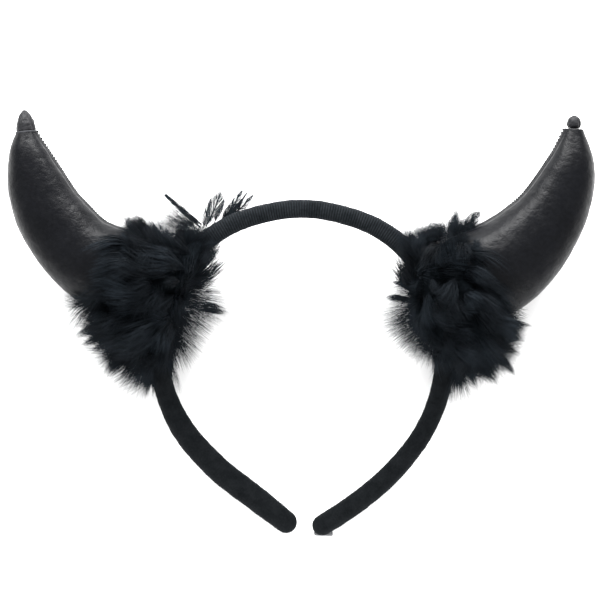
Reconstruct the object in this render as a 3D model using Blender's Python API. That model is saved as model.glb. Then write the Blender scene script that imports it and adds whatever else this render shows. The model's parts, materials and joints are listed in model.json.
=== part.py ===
"""A devil horns headband at its real size, lying on its back on a flat surface.

A padded cloth hoop carries two stuffed horns. Each horn has a small stitched cap on its tip and a
feather ruff round its foot. The pieces are modelled in the plane of the hoop, x to the right, y to
the crown and z out of the front, and one empty then lays that plane down.
"""

import math
import random
from collections import namedtuple

import bmesh
import bpy
import numpy as np
from mathutils import Matrix, Vector
from mathutils.bvhtree import BVHTree

MM = 0.001
GAP = 0.3 * MM
CURVE_SAMPLES = 500
SMALLEST_EDGE = 0.02 * MM
HOOP_SHARP_ANGLE = 40
HORN_SHARP_ANGLE = 50

# The hoop lies on the squashed undersides of its ruffs and on its leg ends, so its plane leans.
# The shift puts the middle of the whole headband's footprint on the origin.
LEAN = math.radians(8.6)
HOOP_RISE = 18.4 * MM
HOOP_SHIFT_X = 0.5 * MM
HOOP_SHIFT_Y = 1.54 * MM
FLOOR_BLOCK = 400 * MM

# The hoop: its centreline from the crown to each leg end, with its thickness seen from the front.
HoopRow = namedtuple("HoopRow", "x y thick depth")
LEFT_LEG = (
    HoopRow(0.0, 50.1, 8.3, 12.0),
    HoopRow(-26.9, 45.0, 8.5, 12.0),
    HoopRow(-46.1, 33.1, 8.9, 12.0),
    HoopRow(-58.3, 15.5, 9.2, 12.0),
    HoopRow(-64.1, -6.8, 9.2, 12.0),
    HoopRow(-62.6, -28.4, 8.8, 12.0),
    HoopRow(-53.9, -48.8, 10.3, 11.8),
    HoopRow(-38.4, -66.5, 11.0, 11.4),
    HoopRow(-20.7, -80.4, 11.0, 11.0),
    HoopRow(-3.3, -94.0, 9.6, 10.6),
)
RIGHT_LEG = (
    HoopRow(0.0, 50.1, 8.3, 12.0),
    HoopRow(26.5, 44.8, 8.4, 12.0),
    HoopRow(45.0, 33.4, 8.8, 12.0),
    HoopRow(57.6, 16.0, 9.0, 12.0),
    HoopRow(64.2, -6.8, 9.0, 12.0),
    HoopRow(62.7, -29.8, 8.8, 12.0),
    HoopRow(54.8, -50.3, 8.7, 11.8),
    HoopRow(41.0, -68.1, 9.1, 11.4),
    HoopRow(24.3, -82.5, 9.3, 11.0),
    HoopRow(5.3, -94.9, 9.2, 10.6),
)
HOOP_SECTIONS_A_LEG = 32
HOOP_SIDES = 14
HOOP_FULLNESS = 2.3
HEAD_SIDE_FLAT = 0.78
END_ROUND_STEPS = 4
SMALLEST_END = 0.16

# The horns: the line through the middle of each, from the hoop to the foot of its tip cap.
HornRow = namedtuple("HornRow", "x y width depth")
LEFT_HORN = (
    HornRow(-61.5, 13.4, 43.0, 34.0),
    HornRow(-75.5, 17.8, 41.5, 33.5),
    HornRow(-88.4, 23.4, 39.0, 32.5),
    HornRow(-99.7, 30.8, 35.4, 30.5),
    HornRow(-108.2, 40.0, 33.6, 28.5),
    HornRow(-115.3, 50.7, 30.2, 26.0),
    HornRow(-120.0, 62.5, 26.0, 22.5),
    HornRow(-123.1, 74.9, 18.6, 17.0),
    HornRow(-124.1, 85.0, 9.2, 9.0),
)
RIGHT_HORN = (
    HornRow(61.5, 12.0, 46.0, 36.0),
    HornRow(73.8, 17.0, 44.5, 35.5),
    HornRow(85.6, 22.2, 42.4, 34.5),
    HornRow(96.4, 29.3, 39.6, 33.0),
    HornRow(105.3, 38.2, 36.2, 30.5),
    HornRow(112.7, 48.5, 31.6, 27.5),
    HornRow(118.1, 59.8, 27.2, 23.5),
    HornRow(121.4, 72.0, 20.3, 18.5),
    HornRow(122.3, 86.0, 8.8, 8.3),
)
HORN_SECTIONS = 24
HORN_SIDES = 20
SEAM_RIDGE = 0.6 * MM
SEAM_SIDE_NARROWING = 0.06

# The tip caps: how wide each is at a height above the end of its horn.
CapRow = namedtuple("CapRow", "rise width")
LEFT_CAP = (
    CapRow(0.0, 9.0),
    CapRow(2.6, 8.4),
    CapRow(5.2, 6.8),
    CapRow(7.6, 4.2),
    CapRow(9.2, 1.4),
)
RIGHT_CAP = (
    CapRow(0.0, 5.2),
    CapRow(1.6, 6.4),
    CapRow(3.2, 6.0),
    CapRow(4.7, 4.4),
    CapRow(5.7, 1.6),
)
CAP_SECTIONS = 8
CAP_SIDES = 16

# The ruffs: how far the feathers stand out from the middle of each, by direction in the hoop's plane.
Reach = namedtuple("Reach", "bearing out")
LEFT_RUFF = (
    Reach(0, 24),
    Reach(28, 25),
    Reach(42, 44),
    Reach(52, 52),
    Reach(64, 43),
    Reach(80, 36),
    Reach(100, 41),
    Reach(114, 42),
    Reach(126, 37),
    Reach(150, 32),
    Reach(176, 30),
    Reach(190, 33),
    Reach(200, 41),
    Reach(216, 39),
    Reach(236, 43),
    Reach(252, 40),
    Reach(264, 44),
    Reach(278, 34),
    Reach(290, 22),
    Reach(306, 28),
    Reach(336, 19),
)
RIGHT_RUFF = (
    Reach(0, 27),
    Reach(30, 25),
    Reach(56, 30),
    Reach(70, 41),
    Reach(80, 43),
    Reach(98, 38),
    Reach(122, 39),
    Reach(140, 29),
    Reach(156, 24),
    Reach(180, 25),
    Reach(206, 30),
    Reach(222, 29),
    Reach(250, 26),
    Reach(266, 40),
    Reach(282, 42),
    Reach(300, 45),
    Reach(311, 47),
    Reach(322, 42),
    Reach(342, 39),
    Reach(352, 30),
)
LEFT_RUFF_MIDDLE = Vector((-64.0 * MM, 9.0 * MM, 0.0))
RIGHT_RUFF_MIDDLE = Vector((64.3 * MM, 9.0 * MM, 0.0))
RUFF_FRONT = 35 * MM
RUFF_BACK = 40 * MM
RUFF_FULLNESS = 3.0
BACKING_SHARE = 0.78
BACKING_GRID_CUTS = 4
LOCK_BEND = 0.6
LOCK_LENGTH_SPREAD = (0.90, 1.08)
LOCK_CLEARANCE = 0.7 * MM
SMALLEST_ROOT = 8 * MM * MM
# A cut face of the backing lies further inside the ball, or faces less outwards, than these.
ROOT_OFF_BALL = 1.5 * MM
ROOT_FACING = 0.5
HOLLOW_CORNER = math.radians(178)
LockStep = namedtuple("LockStep", "along slimming bend")
LOCK_STEPS = (LockStep(0.5, 0.74, 0.3), LockStep(1.0, 0.30, 1.0))

# A small fold of the cover stands proud under the right leg's end.
FOLD_MIDDLE = Vector((12.2 * MM, -94.6 * MM, 0.0))
FOLD_SIZE = Vector((6.4 * MM, 4.2 * MM, 5.0 * MM))
FOLD_TURN = math.radians(12)

# Plain finishes, as red, green, blue in linear light, then roughness.
Finish = namedtuple("Finish", "colour roughness")
VELVET = Finish((0.016, 0.019, 0.022), 0.95)
SATIN = Finish((0.024, 0.024, 0.027), 0.45)
TIP_CLOTH = Finish((0.020, 0.020, 0.023), 0.75)
FEATHER = Finish((0.008, 0.011, 0.014), 0.9)
FOLD_CLOTH = Finish((0.35, 0.36, 0.37), 0.9)

SEED = 41


def clear_scene():
    """Take out whatever the file held, so that the script can run again from the text editor."""
    for old in list(bpy.data.objects):
        bpy.data.objects.remove(old, do_unlink=True)


def make_material(name, finish):
    """A plain material with this colour and roughness."""
    material = bpy.data.materials.new(name)
    material.use_nodes = True
    shader = material.node_tree.nodes["Principled BSDF"]
    shader.inputs["Base Color"].default_value = (*finish.colour, 1.0)
    shader.inputs["Roughness"].default_value = finish.roughness
    shader.inputs["Metallic"].default_value = 0.0
    return material


def add_object(name, bm, finish=None, parent=None):
    """Put a mesh in the scene, with its faces turned outwards. With no finish it is a hidden cutter."""
    bmesh.ops.recalc_face_normals(bm, faces=bm.faces)
    mesh = bpy.data.meshes.new(name)
    bm.to_mesh(mesh)
    bm.free()
    piece = bpy.data.objects.new(name, mesh)
    bpy.context.collection.objects.link(piece)
    piece.parent = parent
    if finish is None:
        piece.hide_render = True
        piece.display_type = "WIRE"
    else:
        mesh.materials.append(make_material(name, finish))
    return piece


def curve_point(values, at):
    """A smooth curve through the values, read at a place counted in rows from the first."""
    last = len(values) - 1
    row = min(int(at), last - 1)
    part = at - row
    here, there = values[row], values[row + 1]
    before = values[row - 1] if row > 0 else 2 * here - there
    after = values[row + 2] if row + 2 <= last else 2 * there - here
    return 0.5 * (
        2 * here
        + (there - before) * part
        + (2 * before - 5 * here + 4 * there - after) * part**2
        + (3 * here - before - 3 * there + after) * part**3
    )


def even_rows(rows, places):
    """Rows read from a smooth curve through a table, at these shares of its length in the plane."""
    table = np.array(rows, float) * MM
    fine = np.array([curve_point(table, at) for at in np.linspace(0, len(table) - 1, CURVE_SAMPLES)])
    steps = np.hypot(*np.diff(fine[:, :2], axis=0).T)
    run = np.concatenate([[0], np.cumsum(steps)])
    wanted = np.array(places) * run[-1]
    columns = [np.interp(wanted, run, fine[:, column]) for column in range(table.shape[1])]
    return np.stack(columns, axis=1), run[-1]


def headings(rows):
    """The unit direction of travel in the plane at each row."""
    ways = np.gradient(rows[:, :2], axis=0)
    return ways / np.linalg.norm(ways, axis=1)[:, None]


def loft(rings):
    """A closed skin: a first face, an extrusion of it to each further ring, and a last face at the start."""
    bm = bmesh.new()
    first = [bm.verts.new(point) for point in rings[0]]
    end = bm.faces.new(first)
    for ring in rings[1:]:
        end = bmesh.ops.extrude_discrete_faces(bm, faces=[end])["faces"][0]
        for corner, point in zip(end.verts, ring):
            corner.co = point
    bm.faces.new(reversed(first))
    return bm


def hoop_ring(row, way, swell, shrink):
    """One section of the hoop: a full oval whose side to the head is flat."""
    outward = Vector((-way[1], way[0], 0.0))
    middle = Vector((row[0], row[1], 0.0))
    thick = (row[2] * shrink + 2 * swell) / 2
    depth = (row[3] * shrink + 2 * swell) / 2
    ring = []
    for side in range(HOOP_SIDES):
        turn = (side + 0.5) * math.tau / HOOP_SIDES
        across = math.copysign(abs(math.cos(turn)) ** (2 / HOOP_FULLNESS), math.cos(turn))
        up = math.copysign(abs(math.sin(turn)) ** (2 / HOOP_FULLNESS), math.sin(turn))
        flat = max(across, -HEAD_SIDE_FLAT)
        share = (2 * flat - 1 + HEAD_SIDE_FLAT) / (1 + HEAD_SIDE_FLAT)
        ring.append(middle + outward * (share * thick) + Vector((0, 0, up * depth)))
    return ring


def leg_rows(rows):
    """The sections of one leg from the crown down, closer together at its rounded end, where they shrink."""
    whole = even_rows(rows, [0, 1])[1]
    round_share = rows[-1].thick * MM / 2 / whole
    first = 0.5 / HOOP_SECTIONS_A_LEG
    straight = np.linspace(first, 1 - round_share, HOOP_SECTIONS_A_LEG)
    turns = [step / END_ROUND_STEPS * math.pi / 2 for step in range(1, END_ROUND_STEPS + 1)]
    ends = [1 - round_share * (1 - math.sin(turn)) for turn in turns]
    table = even_rows(rows, [*straight, *ends])[0]
    shrink = [1.0] * HOOP_SECTIONS_A_LEG + [max(math.cos(turn), SMALLEST_END) for turn in turns]
    return table, shrink


def hoop_mesh(swell=0.0):
    """The whole hoop as one skin from the left leg's end over the crown to the right leg's end."""
    left, left_shrink = leg_rows(LEFT_LEG)
    right, right_shrink = leg_rows(RIGHT_LEG)
    rows = np.concatenate([left[::-1], right])
    shrink = left_shrink[::-1] + right_shrink
    ways = headings(rows)
    return loft([hoop_ring(*section, swell, less) for *section, less in zip(rows, ways, shrink)])


def horn_ring(row, way, seam_turn, swell):
    """One section of a horn: an oval, slightly narrower to the seam on the hollow side of its curve."""
    to_seam = Vector((-way[1] * seam_turn, way[0] * seam_turn, 0.0))
    middle = Vector((row[0], row[1], 0.0))
    ring = []
    for side in range(HORN_SIDES):
        turn = side * math.tau / HORN_SIDES
        across = math.cos(turn) * (row[2] / 2 + swell)
        if side == 0:
            across += SEAM_RIDGE
        up = math.sin(turn) * (row[3] / 2 + swell) * (1 - SEAM_SIDE_NARROWING * math.cos(turn))
        ring.append(middle + to_seam * across + Vector((0, 0, up)))
    return ring


def horn_mesh(rows, seam_turn, swell=0.0):
    """A stuffed horn from the hoop to the flat end that its tip cap sits on."""
    table = even_rows(rows, np.linspace(0, 1, HORN_SECTIONS))[0]
    ways = headings(table)
    table[0, :2] -= ways[0] * swell
    table[-1, :2] += ways[-1] * swell
    return loft([horn_ring(row, way, seam_turn, swell) for row, way in zip(table, ways)])


def cap_mesh(horn_rows, cap_rows):
    """A round cap on the end of a horn, in line with it."""
    table = even_rows(horn_rows, np.linspace(0, 1, HORN_SECTIONS))[0]
    way = headings(table)[-1]
    along = Vector((way[0], way[1], 0.0))
    across = Vector((-way[1], way[0], 0.0))
    foot = Vector((table[-1][0], table[-1][1], 0.0)) + along * GAP
    widths = np.array(cap_rows, float) * MM
    rings = []
    for at in np.linspace(0, len(cap_rows) - 1, CAP_SECTIONS):
        rise, width = curve_point(widths, at)
        ring = []
        for side in range(CAP_SIDES):
            turn = side * math.tau / CAP_SIDES
            spoke = across * math.cos(turn) + Vector((0, 0, 1)) * math.sin(turn)
            ring.append(foot + along * rise + spoke * (width / 2))
        rings.append(ring)
    return loft(rings)


def reach_at(reaches, bearing):
    """How far the feathers stand out at a bearing in degrees, read between the table's rows."""
    bearings = [reach.bearing for reach in reaches]
    lengths = [reach.out * MM for reach in reaches]
    return float(np.interp(bearing % 360, bearings, lengths, period=360))


def fluff_radius(reaches, way, share):
    """The distance from a ruff's middle to its surface in a direction, at a share of the full reach."""
    flat = math.hypot(way.x, way.y)
    bearing = math.degrees(math.atan2(way.y, way.x))
    front_or_back = RUFF_FRONT if way.z > 0 else RUFF_BACK
    level = flat / (share * reach_at(reaches, bearing))
    upright = abs(way.z) / (share * front_or_back)
    return (level**RUFF_FULLNESS + upright**RUFF_FULLNESS) ** (-1 / RUFF_FULLNESS)


def backing_mesh(middle, reaches):
    """The ball of backing that the feathers are sewn on, with evenly spread four-sided faces."""
    bm = bmesh.new()
    bmesh.ops.create_cube(bm, size=2)
    bmesh.ops.subdivide_edges(bm, edges=bm.edges, cuts=BACKING_GRID_CUTS, use_grid_fill=True)
    for corner in bm.verts:
        # The tangent spreads the corners of the cube evenly over the ball.
        way = Vector([math.tan(part * math.pi / 4) for part in corner.co]).normalized()
        corner.co = middle + way * fluff_radius(reaches, way, BACKING_SHARE)
    return bm


def is_root(face, middle, reaches):
    """Whether a face is on the outside of the backing, with room for a lock and no hollow corner."""
    root = face.calc_center_median()
    way = (root - middle).normalized()
    off_surface = abs((root - middle).length - fluff_radius(reaches, way, BACKING_SHARE))
    outside = off_surface < ROOT_OFF_BALL and face.normal.dot(way) > ROOT_FACING
    hollow = any(loop.calc_angle() > HOLLOW_CORNER or not loop.is_convex for loop in face.loops)
    return outside and not hollow and face.calc_area() > SMALLEST_ROOT


def lock_rings(face, middle, reaches, chance):
    """Where the corners of a lock's sections go. Each stays in the cone of its root, so locks never cross."""
    root = (face.calc_center_median() - middle).normalized()
    spokes = [(corner.co - middle).normalized() - root for corner in face.verts]
    bend = chance.choice(spokes) * chance.uniform(0, LOCK_BEND)
    length = chance.uniform(*LOCK_LENGTH_SPREAD)
    rings = []
    for step in LOCK_STEPS:
        share = BACKING_SHARE + (length - BACKING_SHARE) * step.along
        ways = [(root + bend * step.bend + spoke * step.slimming).normalized() for spoke in spokes]
        rings.append([middle + way * fluff_radius(reaches, way, share) for way in ways])
    return rings


def is_clear(point, trees):
    """Whether a point stands far enough off each neighbour's surface and above the floor."""
    up = Vector((0.0, math.sin(LEAN), math.cos(LEAN)))
    rooms = [point.dot(up) + HOOP_RISE]
    for tree in trees:
        surface, normal, _, _ = tree.find_nearest(point)
        rooms.append((point - surface).dot(normal))
    return min(rooms) > LOCK_CLEARANCE


def grow_locks(ruff, middle, reaches, neighbours, chance):
    """A tapered, slightly bent lock of feather on each outer face that has room for one."""
    trees = []
    for neighbour in neighbours:
        other = bmesh.new()
        other.from_mesh(neighbour.data)
        trees.append(BVHTree.FromBMesh(other))
        other.free()
    bm = bmesh.new()
    bm.from_mesh(ruff.data)
    roots = [face for face in bm.faces if is_root(face, middle, reaches)]
    for lock in roots:
        rings = lock_rings(lock, middle, reaches, chance)
        if not all(is_clear(point, trees) for ring in rings for point in ring):
            continue
        for ring in rings:
            lock = bmesh.ops.extrude_discrete_faces(bm, faces=[lock])["faces"][0]
            for corner, place in zip(lock.verts, ring):
                corner.co = place
    bmesh.ops.triangulate(bm, faces=bm.faces)
    bm.to_mesh(ruff.data)
    bm.free()


def keep_largest(bm):
    """Drop the crumbs that a cut leaves loose, and keep the one body."""
    left = set(bm.verts)
    bodies = []
    while left:
        front = [left.pop()]
        body = set(front)
        while front:
            corner = front.pop()
            near = {edge.other_vert(corner) for edge in corner.link_edges} & left
            left -= near
            body |= near
            front.extend(near)
        bodies.append(body)
    biggest = max(bodies, key=len)
    crumbs = [corner for corner in bm.verts if corner not in biggest]
    bmesh.ops.delete(bm, geom=crumbs, context="VERTS")


def cut(piece, cutters):
    """Cut each of these shapes out of a piece, and settle the result into its mesh."""
    for cutter in cutters:
        boolean = piece.modifiers.new(cutter.name, "BOOLEAN")
        boolean.operation = "DIFFERENCE"
        boolean.solver = "EXACT"
        boolean.object = cutter
    bpy.context.view_layer.update()
    finished = piece.evaluated_get(bpy.context.evaluated_depsgraph_get())
    bm = bmesh.new()
    bm.from_mesh(finished.to_mesh())
    piece.modifiers.clear()
    keep_largest(bm)
    bmesh.ops.dissolve_degenerate(bm, dist=SMALLEST_EDGE, edges=bm.edges)
    bm.to_mesh(piece.data)
    bm.free()


def smooth(piece, sharp_angle):
    """Shade a round piece smooth, but for its edges sharper than this."""
    piece.data.shade_smooth()
    piece.data.set_sharp_from_angle(angle=math.radians(sharp_angle))


def add_floor_block():
    """A cutter whose top is the surface that the headband lies on."""
    bm = bmesh.new()
    bmesh.ops.create_cube(bm, size=FLOOR_BLOCK)
    block = add_object("floor_block", bm)
    block.location.z = -FLOOR_BLOCK / 2
    return block


def add_fold(frame, hoop_room):
    """The small fold of the cover, seated round the underside of the right leg's end."""
    bm = bmesh.new()
    bmesh.ops.create_cube(bm, size=1)
    place = Matrix.Translation(FOLD_MIDDLE) @ Matrix.Rotation(FOLD_TURN, 4, "Z")
    bmesh.ops.transform(bm, matrix=place @ Matrix.Diagonal((*FOLD_SIZE, 1)), verts=bm.verts)
    fold = add_object("end_fold_right", bm, FOLD_CLOTH, frame)
    cut(fold, [hoop_room])


def build():
    """Make the hoop, then each side's horn, tip cap and ruff, and lay them all down."""
    clear_scene()
    chance = random.Random(SEED)
    frame = bpy.data.objects.new("lying_plane", None)
    bpy.context.collection.objects.link(frame)
    frame.rotation_euler.x = LEAN
    frame.location = (HOOP_SHIFT_X, HOOP_SHIFT_Y, HOOP_RISE)
    floor = add_floor_block()

    headband = add_object("headband", hoop_mesh(), VELVET, frame)
    hoop_room = add_object("hoop_room", hoop_mesh(GAP), parent=frame)
    cut(headband, [floor])
    smooth(headband, HOOP_SHARP_ANGLE)

    sides = (
        ("left", LEFT_HORN, LEFT_CAP, -1, LEFT_RUFF_MIDDLE, LEFT_RUFF),
        ("right", RIGHT_HORN, RIGHT_CAP, 1, RIGHT_RUFF_MIDDLE, RIGHT_RUFF),
    )
    for side, horn_rows, cap_rows, seam_turn, ruff_middle, reaches in sides:
        horn = add_object(f"horn_{side}", horn_mesh(horn_rows, seam_turn), SATIN, frame)
        horn_room = add_object(f"horn_room_{side}", horn_mesh(horn_rows, seam_turn, GAP), parent=frame)
        cut(horn, [hoop_room])
        smooth(horn, HORN_SHARP_ANGLE)
        tip = add_object(f"horn_tip_{side}", cap_mesh(horn_rows, cap_rows), TIP_CLOTH, frame)
        smooth(tip, HORN_SHARP_ANGLE)
        ruff = add_object(f"ruff_{side}", backing_mesh(ruff_middle, reaches), FEATHER, frame)
        cut(ruff, [horn_room, hoop_room, floor])
        grow_locks(ruff, ruff_middle, reaches, [horn_room, hoop_room], chance)
    add_fold(frame, hoop_room)


build()
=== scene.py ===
# %% [markdown]
# # A devil horns headband, dressed over its solids
#
# The object is a padded cloth hoop with two stuffed satin horns. Each horn has a small sewn cap
# on its tip and a black down ruff round its foot. The solids come ready made as the frame, and
# this lesson gives each of them the surface that a hand would feel: cord ribs, satin, stitches
# and down. The frame is loaded first.

import json
import math
import random
from collections import namedtuple

import bmesh
import bpy
import numpy as np
from mathutils import Matrix, Vector, noise
from mathutils.bvhtree import BVHTree

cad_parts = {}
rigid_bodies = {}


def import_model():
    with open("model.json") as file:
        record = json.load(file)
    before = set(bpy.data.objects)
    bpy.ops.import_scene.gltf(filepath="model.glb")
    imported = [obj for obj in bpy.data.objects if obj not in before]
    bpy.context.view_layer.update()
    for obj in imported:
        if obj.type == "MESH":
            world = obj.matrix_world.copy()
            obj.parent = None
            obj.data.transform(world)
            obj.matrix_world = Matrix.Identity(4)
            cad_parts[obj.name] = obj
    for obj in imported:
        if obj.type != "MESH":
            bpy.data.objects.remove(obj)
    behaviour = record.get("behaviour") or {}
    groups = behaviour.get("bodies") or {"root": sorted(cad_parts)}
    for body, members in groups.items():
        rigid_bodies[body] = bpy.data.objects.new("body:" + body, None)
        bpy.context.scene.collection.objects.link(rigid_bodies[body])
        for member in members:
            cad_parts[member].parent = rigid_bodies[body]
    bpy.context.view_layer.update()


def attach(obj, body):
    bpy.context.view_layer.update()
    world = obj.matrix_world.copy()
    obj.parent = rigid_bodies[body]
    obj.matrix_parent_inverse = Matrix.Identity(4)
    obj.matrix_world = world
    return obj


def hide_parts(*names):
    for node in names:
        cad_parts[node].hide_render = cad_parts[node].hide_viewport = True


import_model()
MM = 0.001

# %% [markdown]
# ## The plane that the hoop lies in
#
# The headband lies on its back, on the squashed undersides of its ruffs and on its leg ends, so
# the hoop's plane leans a little. It is far easier to draw every piece in that plane, x to the
# right, y to the crown and z out of the front, and to lay each finished mesh down with one
# matrix. The objects themselves then stay at the origin, unturned.

# %% The lying plane
LEAN = math.radians(8.6)
HOOP_RISE = 18.4 * MM
LAY_DOWN = Matrix.Translation((0.5 * MM, 1.54 * MM, HOOP_RISE)) @ Matrix.Rotation(LEAN, 4, "X")
STAND_UP = LAY_DOWN.inverted()


def in_plane(x, y, z=0.0):
    """A place in the hoop's plane, given in millimetres."""
    return Vector((x, y, z)) * MM


def above_floor(places, clear):
    """These places of the hoop's plane, with those below the floor raised to just above it."""
    floor_way = np.array([0.0, math.sin(LEAN), math.cos(LEAN)])
    short = clear - (np.array(places) @ floor_way + HOOP_RISE)
    return places + np.outer(np.maximum(0.0, short), floor_way)


print("the hoop leans", round(math.degrees(LEAN), 1), "degrees and rises", HOOP_RISE / MM, "mm")

# %% [markdown]
# ## Camera
#
# The photograph looks straight at the hoop from far away, so the camera stands square to the
# hoop's plane, which is nearly straight above the floor. A long lens from far off keeps the
# ruffs, which stand towards the camera, from looking too large.

# %% Camera
CAMERA_DISTANCE = 1.7
SEEN_WIDTH = 270 * MM
SENSOR = 36
AIM = in_plane(-0.9, 9.0)

camera = bpy.data.objects.new("camera", bpy.data.cameras.new("camera"))
bpy.context.collection.objects.link(camera)
camera.data.sensor_width = SENSOR
camera.data.lens = SENSOR * CAMERA_DISTANCE / SEEN_WIDTH
camera.data.clip_end = 20
camera.location = LAY_DOWN @ (AIM + Vector((0, 0, CAMERA_DISTANCE)))
camera.rotation_euler = (LEAN, 0, 0)
bpy.context.scene.camera = camera
print("lens", round(camera.data.lens, 1), "mm")

# %% [markdown]
# ## Floor and light
#
# The photograph has a plain white ground and hardly a shadow, as in a tent of white cloth, so the
# world around is an even white. A low, wide light from the crown's side gives the stripe of shine
# along the hollow side of each horn, and one from the legs' side lights its outer curve.

# %% Floor and light
FLOOR_SIZE = 6.0
FLOOR_WHITE = (0.95, 0.95, 0.95, 1)
WORLD_STRENGTH = 1.25
LIT_PLACE = in_plane(0, 20)
SoftLight = namedtuple("SoftLight", "name place width depth power")
LIGHTS = (
    SoftLight("crown_side_light", in_plane(-50, 890, 350), 1.3, 0.24, 46.0),
    SoftLight("leg_side_light", in_plane(0, -900, 330), 1.3, 0.42, 24.0),
)


def new_material(name):
    """A material with a Principled shader, returned with its node tree and that shader."""
    material = bpy.data.materials.new(name)
    material.use_nodes = True
    return material, material.node_tree, material.node_tree.nodes["Principled BSDF"]


def add_light(row):
    """A large rectangular light at a place in the hoop's plane, turned to the headband."""
    light = bpy.data.lights.new(row.name, "AREA")
    light.shape = "RECTANGLE"
    light.size = row.width
    light.size_y = row.depth
    light.energy = row.power
    holder = bpy.data.objects.new(row.name, light)
    holder.visible_camera = False
    bpy.context.collection.objects.link(holder)
    holder.location = LAY_DOWN @ row.place
    way = LAY_DOWN @ LIT_PLACE - holder.location
    holder.rotation_euler = way.to_track_quat("-Z", "Y").to_euler()


bm = bmesh.new()
bmesh.ops.create_grid(bm, x_segments=1, y_segments=1, size=FLOOR_SIZE / 2)
floor_mesh = bpy.data.meshes.new("floor")
bm.to_mesh(floor_mesh)
bm.free()
floor = bpy.data.objects.new("floor", floor_mesh)
bpy.context.collection.objects.link(floor)

floor_white, tree, shader = new_material("floor_white")
shader.inputs["Base Color"].default_value = FLOOR_WHITE
shader.inputs["Roughness"].default_value = 0.9
shader.inputs["Specular IOR Level"].default_value = 0.1
floor_mesh.materials.append(floor_white)

world = bpy.data.worlds.new("even_light")
world.use_nodes = True
sky = world.node_tree.nodes["Background"]
sky.inputs["Color"].default_value = (1, 1, 1, 1)
sky.inputs["Strength"].default_value = WORLD_STRENGTH
bpy.context.scene.world = world
bpy.context.scene.view_settings.view_transform = "Standard"

for row in LIGHTS:
    add_light(row)
print("lights:", [row.name for row in LIGHTS])

# %% [markdown]
# ## Lofting a cloth skin
#
# The hoop, the horns and their caps are all skins drawn over changing sections. The sections are
# read from a smooth curve through a few measured rows, the same rows that the solids were made
# from, so the cloth lies where the solids are.

# %% Rows and curves
HoopRow = namedtuple("HoopRow", "x y thick depth")
HornRow = namedtuple("HornRow", "x y width depth")
CURVE_SAMPLES = 600

LEFT_LEG = [
    HoopRow(0.0, 50.1, 8.3, 12.0), HoopRow(-26.9, 45.0, 8.5, 12.0),
    HoopRow(-46.1, 33.1, 8.9, 12.0), HoopRow(-58.3, 15.5, 9.2, 12.0),
    HoopRow(-64.1, -6.8, 9.2, 12.0), HoopRow(-62.6, -28.4, 8.8, 12.0),
    HoopRow(-53.9, -48.8, 10.3, 11.8), HoopRow(-38.4, -66.5, 11.0, 11.4),
    HoopRow(-20.7, -80.4, 11.0, 11.0), HoopRow(-3.3, -94.0, 9.6, 10.6),
]
RIGHT_LEG = [
    HoopRow(0.0, 50.1, 8.3, 12.0), HoopRow(26.5, 44.8, 8.4, 12.0),
    HoopRow(45.0, 33.4, 8.8, 12.0), HoopRow(57.6, 16.0, 9.0, 12.0),
    HoopRow(64.2, -6.8, 9.0, 12.0), HoopRow(62.7, -29.8, 8.8, 12.0),
    HoopRow(54.8, -50.3, 8.7, 11.8), HoopRow(41.0, -68.1, 9.1, 11.4),
    HoopRow(24.3, -82.5, 9.3, 11.0), HoopRow(5.3, -94.9, 9.2, 10.6),
]
LEFT_HORN = [
    HornRow(-61.5, 13.4, 43.0, 34.0), HornRow(-75.5, 17.8, 41.5, 33.5),
    HornRow(-88.4, 23.4, 39.0, 32.5), HornRow(-99.7, 30.8, 35.4, 30.5),
    HornRow(-108.2, 40.0, 33.6, 28.5), HornRow(-115.3, 50.7, 30.2, 26.0),
    HornRow(-120.0, 62.5, 26.0, 22.5), HornRow(-123.1, 74.9, 18.6, 17.0),
    HornRow(-124.1, 85.0, 9.2, 9.0),
]
RIGHT_HORN = [
    HornRow(61.5, 12.0, 46.0, 36.0), HornRow(73.8, 17.0, 44.5, 35.5),
    HornRow(85.6, 22.2, 42.4, 34.5), HornRow(96.4, 29.3, 39.6, 33.0),
    HornRow(105.3, 38.2, 36.2, 30.5), HornRow(112.7, 48.5, 31.6, 27.5),
    HornRow(118.1, 59.8, 27.2, 23.5), HornRow(121.4, 72.0, 20.3, 18.5),
    HornRow(122.3, 86.0, 8.8, 8.3),
]
# Each side's horn, and which way its seam lies from its direction of travel.
HORNS = {"left": (LEFT_HORN, -1), "right": (RIGHT_HORN, 1)}


def curve_point(values, at):
    """A smooth curve through the values, read at a place counted in rows from the first."""
    last = len(values) - 1
    row = min(int(at), last - 1)
    part = at - row
    here, there = values[row], values[row + 1]
    before = values[row - 1] if row > 0 else 2 * here - there
    after = values[row + 2] if row + 2 <= last else 2 * there - here
    return 0.5 * (
        2 * here
        + (there - before) * part
        + (2 * before - 5 * here + 4 * there - after) * part**2
        + (3 * here - before - 3 * there + after) * part**3
    )


def even_rows(rows, places):
    """Rows of a smooth curve through a table, at these shares of its length, and that length."""
    table = np.array(rows, float) * MM
    fine = np.array([curve_point(table, at) for at in np.linspace(0, len(table) - 1, CURVE_SAMPLES)])
    run = np.concatenate([[0], np.cumsum(np.hypot(*np.diff(fine[:, :2], axis=0).T))])
    wanted = np.array(places) * run[-1]
    columns = [np.interp(wanted, run, fine[:, column]) for column in range(table.shape[1])]
    return np.stack(columns, axis=1), run[-1]


def headings(rows):
    """The unit direction of travel in the plane at each row."""
    ways = np.gradient(rows[:, :2], axis=0)
    return ways / np.linalg.norm(ways, axis=1)[:, None]


def on_plane(row):
    """The place of a row in the plane."""
    return Vector((row[0], row[1], 0.0))


def sideways(way, turn=1):
    """The direction square to a direction of travel, to its left, or its right when turn is -1."""
    return Vector((-way[1] * turn, way[0] * turn, 0.0))


leg_lengths = [even_rows(leg, [0, 1])[1] for leg in (LEFT_LEG, RIGHT_LEG)]
print("hoop length", round(sum(leg_lengths) / MM), "mm")

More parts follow.
